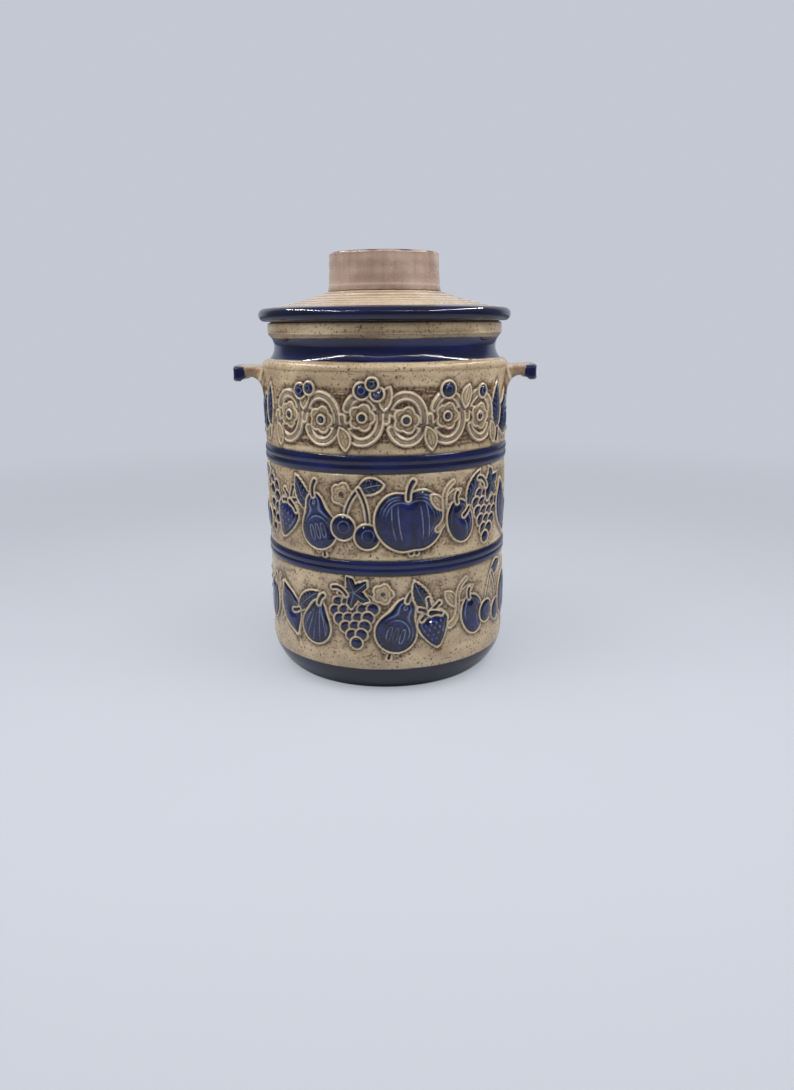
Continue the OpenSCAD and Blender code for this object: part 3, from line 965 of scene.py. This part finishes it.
def knob_outline():
    """Half section of the hollow knob: a ring rounded at its rim and foot. Its side is a straight taper less
    a bell curve, plus a fine sine wave."""
    top_r = KNOB_R - 1.5
    wall = 6.5
    z = np.linspace(LID_TOP_Z + 1.2, KNOB_TOP_Z - 2.0, 40)
    t = (z - LID_TOP_Z) / (KNOB_TOP_Z - LID_TOP_Z)
    waves = 0.10 * np.sin(19 * t) - 0.35 * bell(t, 0.5, 0.4)
    side = np.stack([mix(KNOB_R - 0.35, top_r, t) + waves, z], 1)
    return chain(
        line((KNOB_R - wall, LID_TOP_Z), (KNOB_R - 1.2, LID_TOP_Z), 5),
        arc((KNOB_R - 1.3, LID_TOP_Z + 1.3), 1.3, 270, 350, 7), side,
        arc((top_r - 2, KNOB_TOP_Z - 2), 2, 0, 90, 10),
        arc((top_r - wall + 2, KNOB_TOP_Z - 2), 2, 90, 180, 10),
        line((top_r - wall, KNOB_TOP_Z - 3), (KNOB_R - wall, LID_TOP_Z + 1), 8),
    )


def knob_layers(r, z, a):
    """A broken brushed line of cobalt and iron on the rim, pooled grey glaze at the foot."""
    rows, cols = r.shape
    drift = patchy(rows, cols, 4, 10, 41)
    rim = bell(z, KNOB_TOP_Z - 0.25, 0.7) * (r > 37)
    broken = fade(drift, 0.28, 0.6)
    foot = bell(z, LID_TOP_Z + 1.6, 1.5) * (r > 40)
    streaks = patchy(rows, cols, 40, 3.2, 42)
    inside = r < 37
    iron_and_shade = 0.14 * fade(streaks, 0.5, 1.0) + 0.4 * rim * (1 - broken) + 0.25 * foot + 0.25 * inside
    return {
        "cobalt": np.clip(rim * broken, 0, 1),
        "dark": np.clip(0.75 * rim * broken, 0, 1),
        "iron_and_shade": np.clip(iron_and_shade, 0, 1),
        "ridge_and_highlight": np.clip(0.35 * bell(z, LID_TOP_Z + 4.6, 0.6) + 0.1 * (1 - streaks), 0, 1),
        "tone": 0.4 + 0 * z,
    }


# Lug handles

def lug_surface(side):
    """A lug: cross-sections from inside the wall to the tip. Each is a rounded box, its half width and half
    height times the cosine and sine to a small power. The width flares by a bell curve at the root, and the
    underside follows a circle for the finger groove. Beads run round the root."""
    stations = 120
    around = 144
    t = np.linspace(0, 1, stations)
    groove_x = 103.54
    groove_z = 214.7
    groove_r = 12.1
    tip_round = 2.4
    half = 24.0
    ceiling = 226.8
    tip_low_z = 223.5
    root_x = 84.0
    straight = LUG_TIP_X - tip_round
    arm_share = 0.86
    arm = t < arm_share
    x_mid = np.where(arm, mix(root_x, straight, t / arm_share), straight)
    q = np.clip((t - arm_share) / (1 - arm_share), 0, 1) * math.pi / 2
    x_mid = x_mid + tip_round * np.sin(q)
    shrink = tip_round * (1 - np.cos(q))
    inside = np.clip(groove_r ** 2 - (x_mid - groove_x) ** 2, 0, None)
    under = groove_z + np.sqrt(inside)
    lip = LUG_TOP_Z - 11.6
    under = np.where(x_mid > groove_x, np.maximum(under, lip), under)
    under = np.where(x_mid < groove_x - groove_r, LUG_LOW_Z, under)
    flare = bell(np.maximum(x_mid, 91), 91, 3.4)
    under = np.maximum(np.minimum(under, ceiling) - 0.8 * flare, LUG_LOW_Z)
    half_w = half + 4.3 * flare
    top = LUG_TOP_Z - 0.35 * bell(x_mid, 103, 7.0) - shrink
    under = under + shrink
    half_w = half_w - shrink
    th = np.linspace(0, 2 * math.pi, around, endpoint=False)
    power = 0.34
    cx = np.sign(np.cos(th)) * np.abs(np.cos(th)) ** power
    cz = np.sign(np.sin(th)) * np.abs(np.sin(th)) ** power
    y = half_w[:, None] * cx[None, :]
    mid_z = ((top + under) / 2)[:, None]
    half_z = ((top - under) / 2)[:, None]
    z = mid_z + half_z * cz[None, :]
    crown = 4.0 * (y / half) ** 2
    reach = fade(x_mid, 92, straight)[:, None]
    x = x_mid[:, None] - crown * reach
    wall_x = np.sqrt(np.clip(BODY_R ** 2 - y ** 2, 0, None))
    off = x - wall_x
    face = fade(np.abs(y), 0.8 * half_w[:, None], half_w[:, None] - 0.2)
    slant = off - 0.35 * (LUG_TOP_Z - z)
    bead = 0.85 * (bell(slant, 0.2, 0.9) + 0.8 * bell(slant, -3.0, 0.8)) * face * fade(off, -1.5, 0.3)
    y = y + np.sign(y) * bead
    lots = patchy(stations, around, 6, 8, 50)
    z = z + 0.25 * (lots - 0.5) * (z > LUG_LOW_Z + 1)
    tip = fade(off - (23 - crown) + 6.4 - 0.13 * (z - tip_low_z) + 1.2 * (lots - 0.5), 0.0, 0.7) * (off > 8)
    blotch = fade(patchy(stations, around, 5, 6, 51), 0.45, 0.75) * bell(slant, -1.4, 1.6) * face
    # Painted shade: the lug is made browner below its middle height.
    underside_shade = fade(mid_z - z, 1.0, 4.0)
    layers = {
        "cobalt": tip,
        "dark": np.clip(0.3 * tip + 0.9 * blotch, 0, 1),
        "iron_and_shade": np.clip(0.8 * blotch + 0.35 * face * (1 - tip) + 0.3 * underside_shade * (1 - tip), 0, 1),
        # Pale beads, and a painted highlight that makes the top 2 mm of the lug paler.
        "ridge_and_highlight": np.clip(bead * 1.1 + 0.25 * fade(z, LUG_TOP_Z - 2, LUG_TOP_Z) * (1 - tip), 0, 1),
        "tone": 0.25 + 0.4 * lots,
    }
    points = np.stack([x, y, z], 2).reshape(-1, 3)
    points[:, 0] *= side
    corner_r, corner_c = cells(stations, around, True)
    faces = corner_r * around + corner_c % around
    uv = np.stack([corner_c / around, corner_r / (stations - 1)], 2)
    ring = np.arange(around)
    root_cap = ring[None, ::-1].copy()
    tip_cap = ((stations - 1) * around + ring)[None, :].copy()
    parts = [faces, root_cap, tip_cap]
    uvs = [uv, np.full((1, around, 2), 0.002), np.full((1, around, 2), 0.998)]
    if side < 0:
        parts = [f[:, ::-1] for f in parts]
        uvs = [w[:, ::-1] for w in uvs]
    return points, parts, uvs, {key: np.broadcast_to(v, x.shape).ravel() for key, v in layers.items()}


# Materials

def ramp_node(tree, value, low, high, to_low, to_high, kind="SMOOTHSTEP"):
    """Change from to_low to to_high as a value goes from low to high."""
    node = tree.nodes.new("ShaderNodeMapRange")
    node.interpolation_type = kind
    tree.links.new(value, node.inputs["Value"])
    node.inputs["From Min"].default_value = low
    node.inputs["From Max"].default_value = high
    node.inputs["To Min"].default_value = to_low
    node.inputs["To Max"].default_value = to_high
    return node.outputs["Result"]


class Nodes:
    """Short names for the shader nodes of one material."""

    def __init__(self, name):
        self.material = bpy.data.materials.new(name)
        self.material.use_nodes = True
        self.tree = self.material.node_tree
        self.tree.nodes.clear()
        self.place = self.add("ShaderNodeTexCoord").outputs["Object"]

    def add(self, kind, **settings):
        """A new node of one kind, with its settings."""
        node = self.tree.nodes.new(kind)
        for key, value in settings.items():
            setattr(node, key, value)
        return node

    def join(self, value, socket):
        """Links a value to a socket, or sets the socket to a plain number or colour."""
        if isinstance(value, bpy.types.NodeSocket):
            self.tree.links.new(value, socket)
        else:
            socket.default_value = value

    def math(self, kind, a, b, clamp=False):
        """Two values added, subtracted or multiplied, and held from 0 to 1 where clamp is set."""
        node = self.add("ShaderNodeMath", operation=kind, use_clamp=clamp)
        self.join(a, node.inputs[0])
        self.join(b, node.inputs[1])
        return node.outputs[0]

    def noise(self, stretch, detail=3.0, rough=0.5):
        """Noise from 0 to 1 with the given number of cells per metre along x, y and z."""
        mapping = self.add("ShaderNodeMapping")
        self.join(self.place, mapping.inputs["Vector"])
        mapping.inputs["Scale"].default_value = stretch
        node = self.add("ShaderNodeTexNoise")
        self.join(mapping.outputs[0], node.inputs["Vector"])
        node.inputs["Scale"].default_value = 1.0
        node.inputs["Detail"].default_value = detail
        node.inputs["Roughness"].default_value = rough
        return node.outputs["Fac"]

    def ramp(self, value, low, high, to_low=0.0, to_high=1.0):
        """S-shaped change from to_low to to_high as a value goes from low to high."""
        return ramp_node(self.tree, value, low, high, to_low, to_high)

    def layer(self, name):
        """The value of one painted layer of the mesh."""
        return self.add("ShaderNodeAttribute", attribute_name=name).outputs["Fac"]

    def blend(self, a, b, share):
        """Mix of two colours."""
        node = self.add("ShaderNodeMix", data_type="RGBA")
        self.join(share, node.inputs["Factor"])
        self.join(a, node.inputs[6])
        self.join(b, node.inputs[7])
        return node.outputs[2]


def rgb(r, g, b):
    """A colour given in screen values from 0 to 255, as the linear colour that shaders use."""
    c = np.array([r, g, b]) / 255
    c = np.where(c <= 0.04045, c / 12.92, ((c + 0.055) / 1.055) ** 2.4)
    return (*[float(x) for x in c], 1.0)


# Colours that all the glazes share: pale ridges, which also serve for painted highlights; dark cuts, which
# also serve for painted shade; and cobalt where it is thick, thin, on a raised line, and where it pools or
# painted shade darkens it. GLOSS is the roughness of the smoothest clay glaze.
BARE_RIDGE_AND_HIGHLIGHT = rgb(212, 198, 172)
DARK_CUT = rgb(34, 26, 24)
THICK_BLUE = rgb(8, 9, 34)
THIN_BLUE = rgb(20, 30, 84)
RIDGE_BLUE = rgb(128, 142, 164)
POOLED_AND_SHADED_BLUE = rgb(9, 10, 26)
GLOSS = 0.2


def glaze(name, light, deep, brown, speck, streak=(60, 60, 420)):
    """Stoneware glaze. The clay colour wanders between light and deep with fine streaks and iron specks.
    Over it lie the painted layers: brown wash that also carries painted shade, pale ridges where the glaze
    runs thin that also carry painted highlights, and cobalt that is bright where thin and near black where it
    pools and where painted shade darkens it."""
    n = Nodes(name)
    cobalt, ridge_and_highlight, dark, iron_and_shade, tone = [n.layer(key) for key in LAYERS]
    cloud = n.noise((28, 28, 40), 4.0, 0.6)
    streaks = n.noise(streak, 3.0, 0.6)
    grain = n.noise((1500, 1500, 1500), 2.0, 0.7)
    flecks = n.noise((520, 520, 520), 3.0, 0.65)
    clay = n.blend(deep, light, n.ramp(cloud, 0.32, 0.68))
    clay = n.blend(clay, deep, n.math("MULTIPLY", n.ramp(streaks, 0.5, 0.75), 0.45))
    spots = n.ramp(flecks, 0.56, 0.66, 0.0, speck)
    clay = n.blend(clay, brown, spots)
    clay = n.blend(clay, deep, n.ramp(grain, 0.55, 0.75, 0.0, 0.35))
    patch = n.ramp(flecks, 0.35, 0.62, 0.7, 1.25)
    # Brown wash, and painted shade in grooves, round the scroll and under the lugs.
    wash_and_shade = n.math("MULTIPLY", iron_and_shade, patch, clamp=True)
    clay = n.blend(clay, brown, wash_and_shade)
    # Pale ridges, and painted highlights on the lug tops and the collar's lower edge.
    clay = n.blend(clay, BARE_RIDGE_AND_HIGHLIGHT, n.math("MULTIPLY", ridge_and_highlight, 0.62))
    clay = n.blend(clay, DARK_CUT, n.math("MULTIPLY", dark, 0.85))
    wander = n.math("MULTIPLY", n.math("SUBTRACT", cloud, 0.5), 0.8)
    thin = n.math("ADD", tone, wander, clamp=True)
    blue = n.blend(THICK_BLUE, THIN_BLUE, thin)
    blue = n.blend(blue, RIDGE_BLUE, n.math("MULTIPLY", ridge_and_highlight, 0.75))
    blue = n.blend(blue, POOLED_AND_SHADED_BLUE, n.math("MULTIPLY", dark, 0.9))
    colour = n.blend(clay, blue, cobalt)
    shader = n.add("ShaderNodeBsdfPrincipled")
    n.join(colour, shader.inputs["Base Color"])
    shader.inputs["IOR"].default_value = 1.52
    rough_clay = n.ramp(grain, 0.3, 0.8, GLOSS, GLOSS + 0.16)
    rough = n.math("SUBTRACT", rough_clay, n.math("MULTIPLY", cobalt, GLOSS * 0.84))
    n.join(rough, shader.inputs["Roughness"])
    bump = n.add("ShaderNodeBump")
    bump.inputs["Distance"].default_value = 0.00022
    coarse = n.noise((260, 260, 320), 2.0, 0.5)
    fine = n.math("MULTIPLY", grain, n.math("SUBTRACT", 0.6, n.math("MULTIPLY", cobalt, 0.55)))
    broad = n.math("MULTIPLY", coarse, n.math("SUBTRACT", 1.0, n.math("MULTIPLY", cobalt, 0.85)))
    pits = n.math("ADD", fine, broad)
    n.join(pits, bump.inputs["Height"])
    bump.inputs["Strength"].default_value = 0.35
    n.join(bump.outputs[0], shader.inputs["Normal"])
    out = n.add("ShaderNodeOutputMaterial")
    n.join(shader.outputs[0], out.inputs["Surface"])
    return n.material


# Stage: flat floor, pale world, soft lamps, rows of small bright lamps, camera

def plain_material(name, colour, shown):
    """Matte backdrop paint. The camera sees it mixed with the plain shown colour, more so far from the jar,
    so that it stays even and keeps the jar's shadow."""
    n = Nodes(name)
    shader = n.add("ShaderNodeBsdfDiffuse")
    n.join(colour, shader.inputs["Color"])
    even = n.add("ShaderNodeEmission")
    n.join(shown, even.inputs["Color"])
    path = n.add("ShaderNodeLightPath")
    seen = n.add("ShaderNodeMixShader")
    away = n.add("ShaderNodeVectorMath", operation="LENGTH")
    n.join(n.place, away.inputs[0])
    share = n.ramp(away.outputs["Value"], 0.25, 1.4, 0.6, 1.0)
    n.join(n.math("MULTIPLY", path.outputs["Is Camera Ray"], share), seen.inputs[0])
    n.join(shader.outputs[0], seen.inputs[1])
    n.join(even.outputs[0], seen.inputs[2])
    out = n.add("ShaderNodeOutputMaterial")
    n.join(seen.outputs[0], out.inputs["Surface"])
    return n.material


def stage_mesh(name, points, faces, material):
    """A mesh of the stage, from points in metres."""
    mesh = bpy.data.meshes.new(name)
    mesh.from_pydata([tuple(p) for p in points], [], faces)
    mesh.materials.append(material)
    obj = bpy.data.objects.new(name, mesh)
    bpy.context.scene.collection.objects.link(obj)
    return obj


# Colours of the stage: what the camera sees behind the jar, the light of the tent, and the floor's paint
PALE = rgb(196, 200, 210)
TENT = rgb(236, 240, 250)
FLOOR_PAINT = rgb(188, 191, 198)

# The floor's radius in metres and its number of sides
STAGE_R = 3.2
STAGE_SIDES = 64


def add_floor():
    """A wide round floor, level with the foot."""
    a = np.linspace(0, 2 * math.pi, STAGE_SIDES, endpoint=False)
    points = np.stack([STAGE_R * np.cos(a), STAGE_R * np.sin(a), 0 * a], 1)
    paint = plain_material("floor_paint", FLOOR_PAINT, PALE)
    stage_mesh("floor", points, [tuple(range(STAGE_SIDES))], paint)


def add_world():
    """A pale tent: bright behind and above, dimmer in front and at the sides of the camera."""
    world = bpy.data.worlds.new("tent")
    bpy.context.scene.world = world
    world.use_nodes = True
    tree = world.node_tree
    tree.nodes.clear()
    coord = tree.nodes.new("ShaderNodeTexCoord")
    split = tree.nodes.new("ShaderNodeSeparateXYZ")
    tree.links.new(coord.outputs["Generated"], split.inputs[0])
    back = ramp_node(tree, split.outputs["Y"], 0.55, 0.78, 0.20, 0.62)
    above = ramp_node(tree, split.outputs["Z"], 0.3, 0.95, 0.0, 0.12, "LINEAR")
    total = tree.nodes.new("ShaderNodeMath")
    tree.links.new(back, total.inputs[0])
    tree.links.new(above, total.inputs[1])
    light = tree.nodes.new("ShaderNodeBackground")
    light.inputs["Color"].default_value = TENT
    tree.links.new(total.outputs[0], light.inputs["Strength"])
    shown = tree.nodes.new("ShaderNodeBackground")
    shown.inputs["Color"].default_value = PALE
    path = tree.nodes.new("ShaderNodeLightPath")
    pick = tree.nodes.new("ShaderNodeMixShader")
    tree.links.new(path.outputs["Is Camera Ray"], pick.inputs[0])
    tree.links.new(light.outputs[0], pick.inputs[1])
    tree.links.new(shown.outputs[0], pick.inputs[2])
    out = tree.nodes.new("ShaderNodeOutputWorld")
    tree.links.new(pick.outputs[0], out.inputs[0])


def add_lamp(name, place, aim, size, power):
    """A soft rectangular lamp."""
    data = bpy.data.lights.new(name, "AREA")
    data.shape = "RECTANGLE"
    data.size, data.size_y = size
    data.energy = power
    lamp = bpy.data.objects.new(name, data)
    bpy.context.scene.collection.objects.link(lamp)
    way = Vector(aim) - Vector(place)
    lamp.matrix_world = Matrix.Translation(place) @ way.to_track_quat("-Z", "Y").to_matrix().to_4x4()
    lamp.visible_camera = False
    lamp.visible_glossy = False


# Light of the rows of small lamps, and how far out and how high the rows hang, in metres
DOT_STRENGTH = 300.0
DOT_X = 0.38
DOT_Z = 0.62


def bright_material():
    """Plain white light for the rows of small lamps."""
    n = Nodes("lamp_bright")
    glow = n.add("ShaderNodeEmission")
    glow.inputs["Strength"].default_value = DOT_STRENGTH
    out = n.add("ShaderNodeOutputMaterial")
    n.join(glow.outputs[0], out.inputs["Surface"])
    return n.material


def add_dots(name, start, end, count, size, material):
    """A row of small square lamps from start to end, facing the jar."""
    points = []
    faces = []
    for i in range(count):
        mid = Vector(start).lerp(Vector(end), (i + 0.5) / count)
        way = (Vector((0, 0, 0.2)) - mid).normalized()
        side = way.cross(Vector((0, 0, 1))).normalized() * size / 2
        up = side.cross(way).normalized() * size / 2
        base = len(points)
        points += [mid - side - up, mid + side - up, mid + side + up, mid - side + up]
        faces.append((base, base + 1, base + 2, base + 3))
    row = stage_mesh(name, points, faces, material)
    row.visible_camera = False
    row.visible_shadow = False


# The camera's place in metres, its tilt and roll in degrees, and its focal length and the height of the
# photograph's frame in pixels
CAMERA_PLACE = (0.0082, -0.6582, 0.2656)
CAMERA_DOWN = 14.97
CAMERA_ROLL = -0.40
FOCAL_PIXELS = 830
FRAME_PIXELS = 1090
SENSOR = 36.0


def add_camera():
    """The photograph's view: just in front of the jar, a little above the rim, looking down at it."""
    down = math.radians(CAMERA_DOWN)
    roll = math.radians(CAMERA_ROLL)
    ahead = Vector((0, math.cos(down), -math.sin(down)))
    up = Vector((0, math.sin(down), math.cos(down)))
    right = Vector((1, 0, 0))
    right2 = right * math.cos(roll) + up * math.sin(roll)
    up2 = up * math.cos(roll) - right * math.sin(roll)
    data = bpy.data.cameras.new("camera")
    camera = bpy.data.objects.new("camera", data)
    bpy.context.scene.collection.objects.link(camera)
    turn = Matrix((right2, up2, -ahead)).transposed().to_4x4()
    camera.matrix_world = Matrix.Translation(CAMERA_PLACE) @ turn
    data.sensor_width = SENSOR
    data.lens = SENSOR * FOCAL_PIXELS / FRAME_PIXELS
    data.clip_start = 0.01
    bpy.context.scene.camera = camera


bpy.context.scene.view_settings.view_transform = "Standard"
add_camera()
add_world()
add_floor()
add_lamp("top_lamp", (0, -0.25, 1.15), (0, 0, 0.1), size=(1.1, 0.9), power=7.5)
for name, side in (("left", -1), ("right", 1)):
    add_lamp(f"{name}_lamp", (side, -0.35, 0.55), (0, 0, 0.15), size=(0.5, 0.8), power=4.0)
bright = bright_material()
for name, side in (("left", -1), ("right", 1)):
    add_dots(f"{name}_dots", (side * DOT_X, -0.45, DOT_Z), (side * DOT_X, 0.25, DOT_Z), 17, 0.012, bright)
add_dots("front_dots", (-DOT_X, -0.42, DOT_Z), (DOT_X, -0.42, DOT_Z), 26, 0.005, bright)

jar_glaze = glaze("jar_glaze", rgb(182, 163, 132), rgb(150, 130, 102), rgb(66, 44, 26), 0.95)
lug_glaze = glaze("lug_glaze", rgb(170, 150, 124), rgb(140, 114, 88), rgb(84, 50, 26), 0.3)
lid_glaze = glaze("lid_glaze", rgb(164, 148, 128), rgb(134, 116, 98), rgb(98, 70, 48), 0.3)
knob_glaze = glaze("knob_glaze", rgb(158, 138, 124), rgb(132, 110, 98), rgb(112, 84, 70), 0.2, (25, 25, 10))

turned("jar_shell", jar_outline(), 300, jar_layers, jar_glaze, "jar", ("pot_body",))
turned("lid_surface", lid_outline(), 400, lid_layers, lid_glaze, "lid", ("lid_plate",))
turned("knob_surface", knob_outline(), 320, knob_layers, knob_glaze, "lid", ("lid_knob",))
for side, node in ((1, "handle_right"), (-1, "handle_left")):
    points, parts, uvs, layers = lug_surface(side)
    add_piece(node + "_surface", points, parts, uvs, layers, lug_glaze, "jar", (node,))

low = Frieze(EDGE_Z, LOW_CORDON[0], seed=100)
ground(low, combed=0.0, low_margin=4, high_margin=1)
lay_motifs(low, LOW_FRIEZE)
wear(low)
low_r = edge_shape(low, low_rise=1.0, high_rise=0.0)
add_frieze("frieze_low", low, low_r, jar_glaze, drop_low=0.0, drop_high=1.0)

mid = Frieze(LOW_CORDON[1], TOP_CORDON[0], seed=200)
ground(mid, combed=0.0, low_margin=1, high_margin=1)
lay_motifs(mid, MID_FRIEZE)
wear(mid)
mid_r = edge_shape(mid, low_rise=0.3, high_rise=0.3)
add_frieze("frieze_mid", mid, mid_r, jar_glaze, drop_low=1.0, drop_high=1.0)

top = Frieze(TOP_CORDON[1], BAND_TOP_Z, seed=300)
ground(top, combed=1.0, low_margin=3, high_margin=8)
lay_motifs(top, TOP_FRIEZE)
scroll_panel(top)
berries_over(top)
wear(top)
top_r = edge_shape(top, low_rise=0.4, high_rise=1.0)
add_frieze("frieze_top", top, top_r, jar_glaze, drop_low=1.0, drop_high=0.0)
